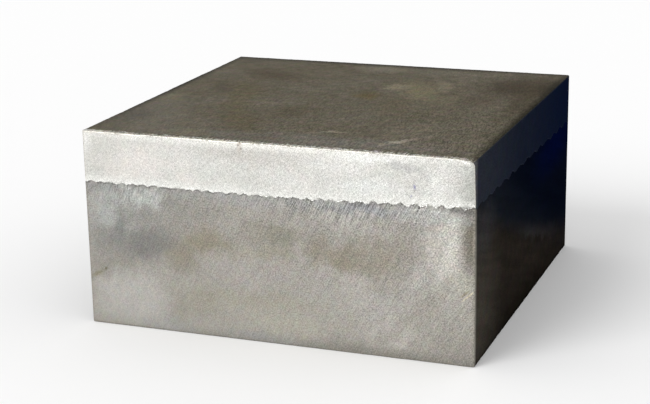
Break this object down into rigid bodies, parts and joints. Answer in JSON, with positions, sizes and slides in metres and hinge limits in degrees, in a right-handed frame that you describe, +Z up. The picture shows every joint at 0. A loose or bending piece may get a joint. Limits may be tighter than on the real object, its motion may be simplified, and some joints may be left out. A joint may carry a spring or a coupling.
{
  "type": "clad metal plate",
  "caption": "Block cut from explosion-clad plate: a light-alloy cladding plate bonded along a fine wavy line to a thicker steel base plate, with one sanded face.",
  "frame": {"origin": "centre of the bottom face, on the surface that the block rests on", "axes": "+Z up through the thickness, from the steel base to the cladding; -Y out of the sanded front face; X along the width"},
  "size_m": [0.1, 0.098, 0.05],
  "materials": {
    "base_steel": "sanded, dull, with smoky stains",
    "cladding_alloy": "freshly sanded front, dull mill-finish top"
  },
  "bodies": {
    "root": {"base_plate": "base_steel", "cladding_plate": "cladding_alloy"}
  },
  "joints": []
}
